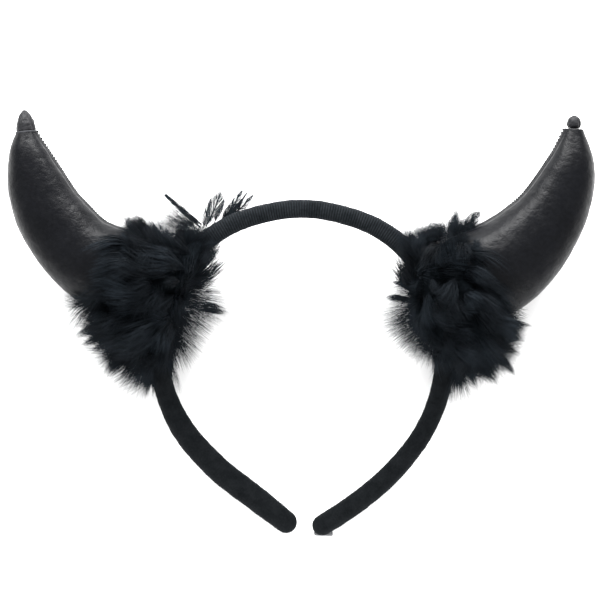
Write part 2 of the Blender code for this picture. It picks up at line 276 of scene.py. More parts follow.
# %% [markdown]
# ## A skin from sections, and a finished piece
#
# A section is a list of corners. The skin starts as a flat grid with a row for each section, as
# cloth does before it is sewn. Each row is set on its section, the two long edges are merged into
# one seam, and the two open ends are filled. How far along the cloth a corner is stays with it as
# an attribute.

# %% Skins and pieces
SEAM_REACH = 0.001 * MM


def skin(sections, lengths):
    """A closed skin over sections, keeping each corner's place along the cloth in metres."""
    sides = len(sections[0])
    bm = bmesh.new()
    along = bm.verts.layers.float.new("along")
    sheet = bmesh.ops.create_grid(bm, x_segments=sides, y_segments=len(sections) - 1, size=1)["verts"]
    for number, corner in enumerate(sheet):
        row, side = divmod(number, sides + 1)
        corner.co = sections[row][side % sides]
        corner[along] = lengths[row]
    bmesh.ops.remove_doubles(bm, verts=bm.verts, dist=SEAM_REACH)
    bmesh.ops.holes_fill(bm, edges=[edge for edge in bm.edges if edge.is_boundary])
    return bm


def finish_piece(name, bm, material, smooth=True, turn_out=True):
    """Lay a mesh down, put it in the scene as a piece, and let it ride with the headband."""
    bmesh.ops.transform(bm, matrix=LAY_DOWN, verts=bm.verts)
    if turn_out:
        bmesh.ops.recalc_face_normals(bm, faces=bm.faces)
    mesh = bpy.data.meshes.new(name)
    bm.to_mesh(mesh)
    bm.free()
    mesh.materials.append(material)
    if smooth:
        mesh.shade_smooth()
    piece = bpy.data.objects.new(name, mesh)
    bpy.context.collection.objects.link(piece)
    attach(piece, "root")
    triangles = sum(len(face.vertices) - 2 for face in mesh.polygons)
    print(name, triangles, "triangles")
    return piece


print("helpers ready")

# %% [markdown]
# ## Shared cloth effects
#
# Mottle is the uneven tone that dark cloth shows, from two sizes of noise. Every cloth here has
# it, so it is a node group with named sockets. Ribs is the painted shade between cords, which is
# dark where the light doesn't reach, and fades where the cords do. Beyond them the legs are
# painted darker all over, as painted shade that leaves the crown looking lit. Both groups give out
# colours and values only, and the shaders stay in their materials.

# %% Node groups
def new_group(name, inputs, outputs):
    """An empty node group with these named sockets, given as name: (kind, value)."""
    group = bpy.data.node_groups.new(name, "ShaderNodeTree")
    for socket, (kind, value) in inputs.items():
        made = group.interface.new_socket(socket, in_out="INPUT", socket_type=kind)
        made.default_value = value
    for socket, kind in outputs.items():
        group.interface.new_socket(socket, in_out="OUTPUT", socket_type=kind)
    return group, group.nodes.new("NodeGroupInput"), group.nodes.new("NodeGroupOutput")


def set_sockets(node, values):
    """Put values on a node's sockets, by name or number."""
    for socket, value in values.items():
        node.inputs[socket].default_value = value


def add_node(tree, kind, values=None, **settings):
    """A node with its settings, and with values on its sockets."""
    node = tree.nodes.new(kind)
    for setting, value in settings.items():
        setattr(node, setting, value)
    set_sockets(node, values or {})
    return node


def join(tree, *links):
    """Link pairs of sockets, given as (node, socket, node, socket)."""
    for start, out, end, into in links:
        tree.links.new(start.outputs[out], end.inputs[into])


mottle, given, out = new_group(
    "cloth_mottle",
    {
        "Vector": ("NodeSocketVector", (0, 0, 0)),
        "Dark": ("NodeSocketColor", (0.01, 0.01, 0.01, 1)),
        "Light": ("NodeSocketColor", (0.03, 0.03, 0.03, 1)),
        "Patch Scale": ("NodeSocketFloat", 90.0),
        "Speck Scale": ("NodeSocketFloat", 700.0),
    },
    {"Color": "NodeSocketColor", "Height": "NodeSocketFloat"},
)
patches = add_node(mottle, "ShaderNodeTexNoise", {"Detail": 4.0, "Roughness": 0.6})
specks = add_node(mottle, "ShaderNodeTexNoise", {"Detail": 2.0, "Roughness": 0.6})
blend = add_node(mottle, "ShaderNodeMath", {1: 0.5}, operation="MULTIPLY")
total = add_node(mottle, "ShaderNodeMath", {1: 0.5}, operation="MULTIPLY_ADD")
spread = add_node(mottle, "ShaderNodeMapRange", {"From Min": 0.35, "From Max": 0.65})
colour = add_node(mottle, "ShaderNodeMix", data_type="RGBA")
join(
    mottle,
    (given, "Vector", patches, "Vector"),
    (given, "Patch Scale", patches, "Scale"),
    (given, "Vector", specks, "Vector"),
    (given, "Speck Scale", specks, "Scale"),
    (patches, "Fac", blend, 0),
    (specks, "Fac", total, 0),
    (blend, 0, total, 2),
    (total, 0, spread, "Value"),
    (spread, "Result", colour, "Factor"),
    (given, "Dark", colour, "A"),
    (given, "Light", colour, "B"),
    (colour, "Result", out, "Color"),
    (total, 0, out, "Height"),
)

rib_shade, given, out = new_group(
    "rib_shade",
    {
        "Length": ("NodeSocketFloat", 0.0),
        "Waves": ("NodeSocketFloat", 1000.0),
        "Even Until": ("NodeSocketFloat", 0.06),
        "Gone From": ("NodeSocketFloat", 0.09),
        "Depth": ("NodeSocketFloat", 0.6),
        "Leg Painted Shade": ("NodeSocketFloat", 0.65),
    },
    {"Value": "NodeSocketFloat"},
)
turn = add_node(rib_shade, "ShaderNodeMath", operation="MULTIPLY")
wave = add_node(rib_shade, "ShaderNodeMath", operation="SINE")
cord = add_node(rib_shade, "ShaderNodeMath", operation="ABSOLUTE")
groove = add_node(rib_shade, "ShaderNodeMath", {0: 1.0}, operation="SUBTRACT")
far = add_node(rib_shade, "ShaderNodeMath", operation="ABSOLUTE")
fade = add_node(rib_shade, "ShaderNodeMapRange", {"To Min": 1.0, "To Max": 0.15})
deep = add_node(rib_shade, "ShaderNodeMath", operation="MULTIPLY")
dark = add_node(rib_shade, "ShaderNodeMath", operation="MULTIPLY")
lit = add_node(rib_shade, "ShaderNodeMath", {0: 1.0}, operation="SUBTRACT")
# painted shade: past the ribs, the legs' colour is darkened to a given share
smooth = add_node(rib_shade, "ShaderNodeMapRange", {"To Min": 1.0})
both = add_node(rib_shade, "ShaderNodeMath", operation="MULTIPLY")
join(
    rib_shade,
    (given, "Length", turn, 0),
    (given, "Waves", turn, 1),
    (turn, 0, wave, 0),
    (wave, 0, cord, 0),
    (cord, 0, groove, 1),
    (given, "Length", far, 0),
    (far, 0, fade, "Value"),
    (given, "Even Until", fade, "From Min"),
    (given, "Gone From", fade, "From Max"),
    (groove, 0, deep, 0),
    (given, "Depth", deep, 1),
    (deep, 0, dark, 0),
    (fade, "Result", dark, 1),
    (dark, 0, lit, 1),
    (far, 0, smooth, "Value"),
    (given, "Even Until", smooth, "From Min"),
    (given, "Gone From", smooth, "From Max"),
    (given, "Leg Painted Shade", smooth, "To Max"),
    (lit, 0, both, 0),
    (smooth, "Result", both, 1),
    (both, 0, out, "Value"),
)


def mottled(name, dark, light, patch_scale, speck_scale):
    """A material of mottled cloth, with its node tree, shader, coordinates and mottle."""
    material, tree, shader = new_material(name)
    place = add_node(tree, "ShaderNodeTexCoord")
    shades = {"Dark": (*dark, 1), "Light": (*light, 1)}
    scales = {"Patch Scale": patch_scale, "Speck Scale": speck_scale}
    cloth = add_node(tree, "ShaderNodeGroup", {**shades, **scales}, node_tree=mottle)
    join(tree, (place, "Object", cloth, "Vector"), (cloth, "Color", shader, "Base Color"))
    return material, tree, shader, place, cloth


print("groups:", [group.name for group in bpy.data.node_groups])

# %% [markdown]
# ## Velvet for the hoop
#
# The hoop is wound in black velvet ribbon. Velvet is nearly black from the front and paler where
# the nap is seen edge on, which the shader's sheen gives. The ribs follow the cloth, so they are
# in the mesh, and the finish adds the nap, painted shade between the ribs, and painted shade that
# darkens the legs.

# %% Velvet
RIB_PITCH = 1.15 * MM
RIBS_UNTIL = (62 * MM, 92 * MM)
velvet, tree, shader, _, cloth = mottled(
    "velvet", (0.0030, 0.0044, 0.0056), (0.0120, 0.0140, 0.0162), 240, 1400
)
set_sockets(shader, {"Roughness": 0.9, "Specular IOR Level": 0.05})
set_sockets(shader, {"Sheen Weight": 0.05, "Sheen Roughness": 0.4, "Sheen Tint": (0.35, 0.40, 0.44, 1)})
bump = add_node(tree, "ShaderNodeBump", {"Strength": 0.5, "Distance": 0.0003})
along = add_node(tree, "ShaderNodeAttribute", attribute_name="along")
spacing = {"Waves": math.pi / RIB_PITCH, "Even Until": RIBS_UNTIL[0], "Gone From": RIBS_UNTIL[1]}
# painted shade: the grooves between ribs are darkened, and the legs past the ribs are darkened to 0.42
rib_values = {**spacing, "Depth": 0.85, "Leg Painted Shade": 0.42}
ribs = add_node(tree, "ShaderNodeGroup", rib_values, node_tree=rib_shade)
shaded = add_node(tree, "ShaderNodeMix", {"Factor": 1.0}, data_type="RGBA", blend_type="MULTIPLY")
join(
    tree,
    (along, "Fac", ribs, "Length"),
    (cloth, "Color", shaded, "A"),
    (ribs, "Value", shaded, "B"),
    (shaded, "Result", shader, "Base Color"),
    (cloth, "Height", bump, "Height"),
    (bump, "Normal", shader, "Normal"),
)
print("velvet nodes:", len(tree.nodes))

# %% [markdown]
# ## The hoop
#
# Over the crown the ribbon is wound tightly and shows as fine ribs across the hoop, which fade
# down the legs. The sections there are close enough to carry a rib each, four sections to a rib.
# The left leg ends in a slight knob and the right one in a rounded end.

# %% The hoop's cover
HOOP_SIDES = 28
HOOP_FULLNESS = 2.3
HEAD_SIDE_FLAT = 0.78
RIB_HEIGHT = 0.30 * MM
RIB_SECTIONS = 4
PLAIN_STEP = 1.3 * MM
RIB_SINK = 0.6
LAST_RIBS = 0.12
NAP_WAVES = 0.20 * MM
NAP_SCALE = 420
END_STEPS = 9
SMALLEST_END = 0.12
HOOP_CLEAR = 0.02 * MM


def hoop_table():
    """The hoop's rows from end to end, how much each one shrinks, and its length from the crown."""
    rows = LEFT_LEG[::-1] + RIGHT_LEG[1:]
    whole = even_rows(rows, [0, 1])[1]
    crown = even_rows(LEFT_LEG, [0, 1])[1]
    first = LEFT_LEG[-1].thick * MM / 2
    last = whole - RIGHT_LEG[-1].thick * MM / 2
    turns = [step / END_STEPS * math.pi / 2 for step in range(1, END_STEPS + 1)]
    narrow = [max(math.cos(turn), SMALLEST_END) for turn in turns]
    body = [
        *np.arange(first, crown - RIBS_UNTIL[1], PLAIN_STEP),
        *np.arange(crown - RIBS_UNTIL[1], crown + RIBS_UNTIL[1], RIB_PITCH / RIB_SECTIONS),
        *np.arange(crown + RIBS_UNTIL[1], last, PLAIN_STEP),
    ]
    run = [first * (1 - math.sin(turn)) for turn in reversed(turns)] + body
    run += [last + (whole - last) * math.sin(turn) for turn in turns]
    shrink = narrow[::-1] + [1.0] * len(body) + narrow
    return even_rows(rows, np.array(run) / whole)[0], shrink, np.array(run) - crown


def rib_swell(length):
    """How far the ribs stand up at a length from the crown."""
    fade = np.interp(abs(length), RIBS_UNTIL, (1.0, LAST_RIBS))
    return (abs(math.sin(math.pi * length / RIB_PITCH)) - RIB_SINK) * RIB_HEIGHT * fade


hoop_rows, hoop_shrink, hoop_run = hoop_table()
sections = []
for row, way, less, run in zip(hoop_rows, headings(hoop_rows), hoop_shrink, hoop_run):
    outward = sideways(way)
    section = []
    for side in range(HOOP_SIDES):
        turn = (side + 0.5) * math.tau / HOOP_SIDES
        across = math.copysign(abs(math.cos(turn)) ** (2 / HOOP_FULLNESS), math.cos(turn))
        up = math.copysign(abs(math.sin(turn)) ** (2 / HOOP_FULLNESS), math.sin(turn))
        share = (2 * max(across, -HEAD_SIDE_FLAT) - 1 + HEAD_SIDE_FLAT) / (1 + HEAD_SIDE_FLAT)
        spoke = outward * share + Vector((0, 0, up))
        level = on_plane(row) + outward * (share * row[2] / 2 * less)
        place = level + Vector((0, 0, up * row[3] / 2 * less))
        nap = noise.noise(place * NAP_SCALE) * NAP_WAVES
        section.append(place + spoke.normalized() * (rib_swell(run) + nap) * less)
    sections.append(above_floor(section, HOOP_CLEAR))
hoop = finish_piece("headband_cover", skin(sections, hoop_run), velvet)
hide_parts("headband")

# %% [markdown]
# ## Satin for the horns
#
# The horns are sewn from a soft, slightly crushed black satin. Its fibres lie smooth, which gives
# a low roughness. A noise with a grain of about three millimetres stands for the crush. It varies
# the roughness, so that the long shine breaks up at its edges, and it dents the cloth a little.

# %% Satin
satin, tree, shader, place, cloth = mottled(
    "satin", (0.0008, 0.0010, 0.0016), (0.0026, 0.0029, 0.0040), 60, 620
)
set_sockets(shader, {"Specular IOR Level": 0.088, "Sheen Weight": 0.01, "Sheen Roughness": 0.35})
crush = add_node(tree, "ShaderNodeTexNoise", {"Scale": 330.0, "Detail": 3.0, "Roughness": 0.65})
gloss_range = {"From Min": 0.3, "From Max": 0.7, "To Min": 0.30, "To Max": 0.44}
gloss = add_node(tree, "ShaderNodeMapRange", gloss_range)
bump = add_node(tree, "ShaderNodeBump", {"Strength": 0.6, "Distance": 0.0005})
join(
    tree,
    (place, "Object", crush, "Vector"),
    (crush, "Fac", gloss, "Value"),
    (gloss, "Result", shader, "Roughness"),
    (crush, "Fac", bump, "Height"),
    (bump, "Normal", shader, "Normal"),
)
print("satin nodes:", len(tree.nodes))

# %% [markdown]
# ## The horns
#
# A horn is a bent cone of satin, turned inside out and stuffed. Its seam runs along the hollow
# side, where it stands up as a narrow ridge, puckered by the stitches. The sections' corners are
# closer together there, so that the ridge is drawn sharply. Three sizes of soft dent keep the
# stuffing from looking turned on a lathe, and break up the edges of the shine.

# %% The horns' skins
HORN_SECTIONS = 190
HORN_SIDES = 84
SEAM_CROWDING = 0.62
SEAM_RIDGE = 0.7 * MM
SEAM_HALF_WIDTH = 0.8 * MM
SEAM_SIDE_NARROWING = 0.06
STITCH_PITCH = 1.5 * MM
PUCKER = 0.28
CREASE_OFF_SEAM = 3.2 * MM
CREASE_HALF_WIDTH = 0.9 * MM
CREASE_DEPTH = 0.35 * MM
DENTS = ((55, 0.50 * MM), (170, 0.16 * MM), (430, 0.08 * MM))
FULL_DENTS_FROM = 22 * MM


def seam_relief(off_seam, length):
    """How far the cloth stands up or lies down at a distance from the seam."""
    pucker = 1 - PUCKER + PUCKER * math.cos(math.tau * length / STITCH_PITCH)
    ridge = SEAM_RIDGE * pucker * math.exp(-((off_seam / SEAM_HALF_WIDTH) ** 2))
    crease = CREASE_DEPTH * math.exp(-(((off_seam - CREASE_OFF_SEAM) / CREASE_HALF_WIDTH) ** 2))
    return ridge - crease


def horn_sections(rows, seam_turn):
    """A horn's sections from its foot to its tip, and how far along each is."""
    table, whole = even_rows(rows, np.linspace(0, 1, HORN_SECTIONS))
    run = np.linspace(0, whole, HORN_SECTIONS)
    sections = []
    for row, way, length in zip(table, headings(table), run):
        to_seam = sideways(way, seam_turn)
        section = []
        for side in range(HORN_SIDES):
            even = side * math.tau / HORN_SIDES
            turn = even - SEAM_CROWDING * math.sin(even)
            lift = math.sin(turn) * (1 - SEAM_SIDE_NARROWING * math.cos(turn))
            level = on_plane(row) + to_seam * (math.cos(turn) * row[2] / 2)
            place = level + Vector((0, 0, lift * row[3] / 2))
            spoke = to_seam * math.cos(turn) / row[2] + Vector((0, 0, math.sin(turn) / row[3]))
            off_seam = abs(math.remainder(turn, math.tau)) * (row[2] + row[3]) / 4
            dents = sum(noise.noise(place * scale) * depth for scale, depth in DENTS)
            fullness = min(1.0, row[2] / FULL_DENTS_FROM)
            relief = (seam_relief(off_seam, length) + dents) * fullness
            section.append(place + spoke.normalized() * relief)
        sections.append(section)
    return sections, run


for side, (rows, seam_turn) in HORNS.items():
    horn = finish_piece(f"horn_skin_{side}", skin(*horn_sections(rows, seam_turn)), satin)
    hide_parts(f"horn_{side}")

# %% [markdown]
# ## Thread along the seams
#
# The seam is closed from outside with short black stitches, a millimetre and a half apart, which
# read as a row of dark beads against the pale ground. One stitch is a small squashed ball, and
# each horn's row of them is one piece.

# %% Stitches
STITCH = (0.50 * MM, 0.30 * MM, 0.42 * MM)
STITCHED_FROM = 0.42
STITCHED_TO = 0.995
STITCH_RISE = 0.35 * MM

thread, tree, shader, _, _ = mottled(
    "thread", (0.0010, 0.0010, 0.0012), (0.0040, 0.0040, 0.0046), 900, 2600
)
set_sockets(shader, {"Roughness": 0.8, "Specular IOR Level": 0.04})

for side, (rows, seam_turn) in HORNS.items():
    whole = even_rows(rows, [0, 1])[1]
    count = int(whole * (1 - STITCHED_FROM) / STITCH_PITCH)
    table = even_rows(rows, np.linspace(STITCHED_FROM, STITCHED_TO, count))[0]
    bm = bmesh.new()
    for row, way in zip(table, headings(table)):
        spot = on_plane(row) + sideways(way, seam_turn) * (row[2] / 2 + STITCH_RISE)
        turned = Matrix.Rotation(math.atan2(way[1], way[0]), 4, "Z")
        shape = Matrix.Translation(spot) @ turned @ Matrix.Diagonal((*STITCH, 1))
        bmesh.ops.create_icosphere(bm, subdivisions=2, radius=1, matrix=shape)
    finish_piece(f"seam_stitches_{side}", bm, thread)

# %% [markdown]
# ## The tip caps
#
# Each horn ends in a scrap of cloth drawn over the tip. The left one is a small pointed hood with
# a thin roll at its hem, and the right one is pulled into a round button. Both are skins over
# round sections, gathered into shallow folds that run to the point.

# %% Tip caps
CAP_SIDES = 48
CAP_SECTIONS = 40
LEFT_CAP = ((0.0, 9.0), (2.6, 8.4), (5.2, 6.8), (7.6, 4.2), (9.2, 1.4))
RIGHT_CAP = ((0.0, 5.2), (1.6, 6.4), (3.2, 6.0), (4.7, 4.4), (5.7, 1.6))
CAP_GAP = 0.3 * MM
CAP_FOLDS = 9
CAP_FOLD_DEPTH = 0.12 * MM
CAP_FOLD_TWIST = 0.6
CAP_CRUMPLES = ((480, 0.26 * MM), (1100, 0.16 * MM))
FULL_FOLDS_FROM = 4 * MM

tip_cloth, tree, shader, _, cloth = mottled(
    "tip_cloth", (0.0030, 0.0032, 0.0040), (0.0150, 0.0154, 0.0172), 500, 1900
)
set_sockets(shader, {"Roughness": 0.5, "Specular IOR Level": 0.14})
bump = add_node(tree, "ShaderNodeBump", {"Strength": 0.6, "Distance": 0.0003})
join(tree, (cloth, "Height", bump, "Height"), (bump, "Normal", shader, "Normal"))


def horn_end(rows):
    """The middle of a horn's end, and the directions along and across the horn there."""
    table = even_rows(rows, np.linspace(0, 1, HORN_SECTIONS))[0]
    way = headings(table)[-1]
    return on_plane(table[-1]), on_plane(way), sideways(way)


def cap_sections(horn_rows, cap_rows):
    """A cap's sections in line with its horn, gathered into folds."""
    end, along, across = horn_end(horn_rows)
    foot = end + along * CAP_GAP
    widths = np.array(cap_rows, float) * MM
    sections = []
    for at in np.linspace(0, len(cap_rows) - 1, CAP_SECTIONS):
        rise, width = curve_point(widths, at)
        section = []
        for side in range(CAP_SIDES):
            turn = side * math.tau / CAP_SIDES
            spoke = across * math.cos(turn) + Vector((0, 0, 1)) * math.sin(turn)
            place = foot + along * rise + spoke * (width / 2)
            folds = math.cos(CAP_FOLDS * turn + CAP_FOLD_TWIST * at) * CAP_FOLD_DEPTH
            crumple = sum(noise.noise(place * scale) * depth for scale, depth in CAP_CRUMPLES)
            section.append(place + spoke * (folds + crumple) * min(1.0, width / FULL_FOLDS_FROM))
        sections.append(section)
    return sections


for side, cap_rows in (("left", LEFT_CAP), ("right", RIGHT_CAP)):
    sections = cap_sections(HORNS[side][0], cap_rows)
    bm = skin(sections, np.linspace(0, 1, len(sections)))
    cap = finish_piece(f"tip_cap_{side}", bm, tip_cloth)
    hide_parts(f"horn_tip_{side}")

# %% [markdown]
# ## The left cap's hem
#
# The left cap is edged with a roll of greyer thread that lies on the horn. A small circle is
# spun once round the horn's end.

# %% Cap hem
HEM_RADIUS = 4.4 * MM
HEM_THICKNESS = 0.62 * MM
HEM_OFF_END = 0.5 * MM
HEM_SIDES = 10
HEM_STEPS = 48

hem_thread, tree, shader, _, _ = mottled(
    "hem_thread", (0.012, 0.0125, 0.014), (0.036, 0.037, 0.041), 420, 1900
)
set_sockets(shader, {"Roughness": 0.7, "Specular IOR Level": 0.1})

end, along, across = horn_end(LEFT_HORN)
middle = end - along * HEM_OFF_END
bm = bmesh.new()
ring = bmesh.ops.create_circle(
    bm,
    segments=HEM_SIDES,
    radius=HEM_THICKNESS,
    matrix=Matrix.Translation(middle + across * HEM_RADIUS),
)["verts"]
bmesh.ops.spin(
    bm,
    geom=ring + bm.edges[:],
    cent=middle,
    axis=along,
    angle=math.tau,
    steps=HEM_STEPS,
    use_merge=True,
)
finish_piece("cap_hem_left", bm, hem_thread)

# %% [markdown]
# ## The end fold
#
# Under the right leg's end a scrap of the ribbon's greyer back peeps out. It is a thin tongue
# with a blunt outer end, cut from a slab and rounded at its edges.

# %% End fold
FOLD_PLACE = in_plane(9.6, -95.6, -0.5)
FOLD_SIZE = (8.4 * MM, 3.9 * MM, 1.8 * MM)
FOLD_TURN = math.radians(4)
FOLD_ROUNDING = 0.8 * MM
FOLD_SEGMENTS = 5
FOLD_TAPER = 0.40

fold_cloth, tree, shader, _, _ = mottled(
    "fold_cloth", (0.030, 0.031, 0.033), (0.120, 0.123, 0.128), 500, 1900
)
set_sockets(shader, {"Roughness": 0.9})

bm = bmesh.new()
bmesh.ops.create_cube(bm, size=1)
for corner in bm.verts:
    corner.co.y *= 1 - FOLD_TAPER * (0.5 - corner.co.x)
turned = Matrix.Translation(FOLD_PLACE) @ Matrix.Rotation(FOLD_TURN, 4, "Z")
bmesh.ops.transform(bm, matrix=turned @ Matrix.Diagonal((*FOLD_SIZE, 1)), verts=bm.verts)
bmesh.ops.bevel(
    bm, geom=bm.edges[:], offset=FOLD_ROUNDING, affect="EDGES",
    segments=FOLD_SEGMENTS, profile=0.5, material=-1,
)
fold = finish_piece("end_fold", bm, fold_cloth)
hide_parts("end_fold_right")

# %% [markdown]
# ## Down
#
# The ruffs are black down, a soft mass of very fine strands. Every strand carries a number from
# root to tip, which paints shade that darkens it towards its root, deep inside the ruff, and every
# tuft has a tone of its own. The heart that shows between the tufts has a duller finish, and its
# darker colour is painted shade.

# %% Down
down, tree, shader = new_material("down")
# the tone mixes each tuft's own tone with painted shade that darkens each strand towards its root
tone = add_node(tree, "ShaderNodeAttribute", attribute_name="tone")
tint = add_node(tree, "ShaderNodeMix", data_type="RGBA")
set_sockets(tint, {"A": (0.0013, 0.0024, 0.0038, 1), "B": (0.0115, 0.0165, 0.0220, 1)})
set_sockets(shader, {"Roughness": 0.8, "Specular IOR Level": 0.1})
join(tree, (tone, "Fac", tint, "Factor"), (tint, "Result", shader, "Base Color"))
print("down nodes:", len(tree.nodes))

# the heart's down: a darker copy of the down as painted shade, with a duller finish
heart_down_painted_shade, tree, shader, _, _ = mottled(
    "heart_down_painted_shade", (0.0006, 0.0009, 0.0012), (0.0034, 0.0045, 0.0056), 420, 1500
)
set_sockets(shader, {"Roughness": 1.0, "Specular IOR Level": 0.01})

# %% [markdown]
# ## One strand
#
# A strand of down is a three-sided sliver: a small triangle, extruded once so that it can bend,
# and poked to a point. It is about a quarter of a millimetre thick at its root, so that at the
# ruff's edge the white ground shines through between the strands.

# %% Strands
GOLDEN_TURN = math.pi * (3 - math.sqrt(5))
STRAND_TAPER = 0.8


def add_strand(bm, foot, bend, tip, radius):
    """A pointed three-sided sliver from foot to tip by way of a bend."""
    way = (tip - foot).to_track_quat("Z", "Y").to_matrix().to_4x4()
    first = bmesh.ops.create_circle(
        bm, cap_ends=True, segments=3, radius=radius, matrix=Matrix.Translation(foot) @ way
    )["verts"]
    end = bmesh.ops.extrude_discrete_faces(bm, faces=[first[0].link_faces[0]])["faces"][0]
    middle = end.calc_center_median()
    for corner in end.verts:
        corner.co = bend + (corner.co - middle) * STRAND_TAPER
    bmesh.ops.poke(bm, faces=[end])["verts"][0].co = tip
    bm.faces.new(reversed(first))


def leaning(off, bearing):
    """The unit direction that leans off the upright by an angle towards a bearing."""
    return Vector((math.cos(bearing) * math.sin(off), math.sin(bearing) * math.sin(off), math.cos(off)))


print("a strand tapers to", STRAND_TAPER, "at its bend")

# %% [markdown]
# ## Tufts and vanes
#
# Strands grow in tufts from one root. A fan is an open tuft with a rounded end, a wisp closes to
# a point, a veil is a flat, thin fan that the ground shows through, and a vane is a flat feather
# with barbs to both sides of a shaft. A few of each are made standing upright, one unit tall, and
# each is used many times.

# %% Tufts and vanes
FAN_STRANDS = 120
FAN_HALF_ANGLES = (20, 25, 30, 34)
FAN_CLOSING = 0.55
WISP_STRANDS = 110
WISP_HALF_ANGLES = (11, 15)
WISP_CLOSING = -0.8
TUFT_FOOT_WIDTH = 0.04
TUFT_FOOT_DEPTH = 0.14
TUFT_ROUNDNESS = 0.22
TUFT_REACHES = (0.68, 1.0)
TUFT_RADII = (0.0034, 0.0054)
TUFT_OPENING = 1.2
VEIL_STRANDS = 42
VEIL_HALF_ANGLES = (24, 32)
VEIL_FOOT = 0.08
VEIL_RADII = (0.0036, 0.0062)
VANE_BARBS = 170
VANE_HALF_WIDTHS = (0.055, 0.14, 0.25)
VANE_TAPER = 0.35
BARB_ANGLES = (18, 32)
BARB_RADII = (0.0038, 0.0060)
SHAFT_RADIUS = 0.022
DOWN_SEED = 7


def tuft_mesh(half_angle, strands, closing, chance):
    """A tuft of strands from one root, whose ends lean off by a share of the angle."""
    bm = bmesh.new()
    half_angle = math.radians(half_angle)
    for strand in range(strands):
        off = half_angle * math.sqrt((strand + chance.random()) / strands)
        bearing = strand * GOLDEN_TURN + chance.uniform(-0.4, 0.4)
        reach = (1 - TUFT_ROUNDNESS * (off / half_angle) ** 2) * chance.uniform(*TUFT_REACHES)
        foot = leaning(math.pi / 2, bearing) * chance.uniform(0, TUFT_FOOT_WIDTH)
        foot.z = chance.uniform(0.0, TUFT_FOOT_DEPTH)
        bend = foot + leaning(off * TUFT_OPENING, bearing) * reach * 0.5
        tip = bend + leaning(off * closing, bearing + chance.uniform(-0.8, 0.8)) * reach * 0.5
        add_strand(bm, foot, bend, tip, chance.uniform(*TUFT_RADII))
    return bm


def veil_mesh(half_angle, chance):
    """A flat fan of single strands, side by side, ending along a rounded line."""
    bm = bmesh.new()
    for strand in range(VEIL_STRANDS):
        off = math.radians(half_angle) * (2 * (strand + chance.random()) / VEIL_STRANDS - 1)
        turn = chance.uniform(-0.25, 0.25)
        reach = chance.uniform(0.80, 1.0) if strand % 3 else chance.uniform(0.5, 0.9)
        foot = Vector((math.sin(off) * VEIL_FOOT, 0, chance.uniform(0.0, VEIL_FOOT)))
        bend = foot + leaning(off * 1.1, turn) * reach * 0.5
        tip = bend + leaning(off * chance.uniform(0.7, 1.0), turn) * reach * 0.5
        add_strand(bm, foot, bend, tip, chance.uniform(*VEIL_RADII))
    return bm


def vane_mesh(half_width, chance):
    """A flat feather: a shaft with barbs to both sides."""
    bm = bmesh.new()
    add_strand(bm, Vector((0, 0, 0)), Vector((0, 0, 0.5)), Vector((0, 0, 1)), SHAFT_RADIUS)
    for barb in range(VANE_BARBS):
        height = 0.04 + 0.92 * barb / VANE_BARBS
        turn = math.pi * (barb % 2) + chance.uniform(-0.2, 0.2)
        off = math.radians(chance.uniform(*BARB_ANGLES))
        length = (half_width * math.sin(math.pi * height**VANE_TAPER) + 0.02) / math.sin(off)
        foot = Vector((0, 0, height))
        bend = foot + leaning(off, turn) * length * 0.6
        tip = bend + leaning(off * 0.5, turn) * length * 0.4
        tip.z = min(tip.z, 1.03)
        add_strand(bm, foot, bend, tip, chance.uniform(*BARB_RADII))
    return bm


chance = random.Random(DOWN_SEED)
grown = [tuft_mesh(angle, FAN_STRANDS, FAN_CLOSING, chance) for angle in FAN_HALF_ANGLES]
grown += [tuft_mesh(angle, WISP_STRANDS, WISP_CLOSING, chance) for angle in WISP_HALF_ANGLES]
grown += [veil_mesh(angle, chance) for angle in VEIL_HALF_ANGLES]
grown += [vane_mesh(half_width, chance) for half_width in VANE_HALF_WIDTHS]
FANS = range(0, len(FAN_HALF_ANGLES))
WISPS = range(FANS.stop, FANS.stop + len(WISP_HALF_ANGLES))
VEILS = range(WISPS.stop, WISPS.stop + len(VEIL_HALF_ANGLES))
VANES = range(VEILS.stop, VEILS.stop + len(VANE_HALF_WIDTHS))
tufts, upright = [], []
for number, bm in enumerate(grown):
    bmesh.ops.recalc_face_normals(bm, faces=bm.faces)
    mesh = bpy.data.meshes.new(f"tuft_{number}")
    bm.to_mesh(mesh)
    bm.free()
    corners = np.empty(len(mesh.vertices) * 3)
    mesh.vertices.foreach_get("co", corners)
    tufts.append(mesh)
    upright.append(corners.reshape(-1, 3))
print("corners of each kind:", [len(corners) for corners in upright])

# %% [markdown]
# ## Laying a tuft
#
# A tuft is used by bending its upright mesh along a curve from root to point. Each corner's
# height becomes a place on the curve, and its sideways place is kept square to the curve, turned
# so that the flat side of a vane looks the way it is told to face.

# %% Laying tufts
Laid = namedtuple("Laid", "kind root bend tip facing slimness tone")
FLOOR_CLEAR = 0.25 * MM
# the share of a strand's tone left at its root: painted shade deep in the ruff
PAINTED_ROOT_SHADE = 0.15


def laid_corners(one):
    """The corners of a tuft bent from its root to its tip, kept above the floor."""
    corners = upright[one.kind]
    root, bend, tip = (np.array(point) for point in (one.root, one.bend, one.tip))
    at = corners[:, 2:3]
    spine = (1 - at) ** 2 * root + 2 * at * (1 - at) * bend + at**2 * tip
    way = 2 * (1 - at) * (bend - root) + 2 * at * (tip - bend)
    way /= np.linalg.norm(way, axis=1)[:, None]
    side = np.cross(way, np.array(one.facing))
    side /= np.linalg.norm(side, axis=1)[:, None]
    other = np.cross(way, side)
    length = np.linalg.norm(tip - root) * one.slimness
    sideways_part = (side * corners[:, 0:1] + other * corners[:, 1:2]) * length
    return above_floor(spine + sideways_part, FLOOR_CLEAR)


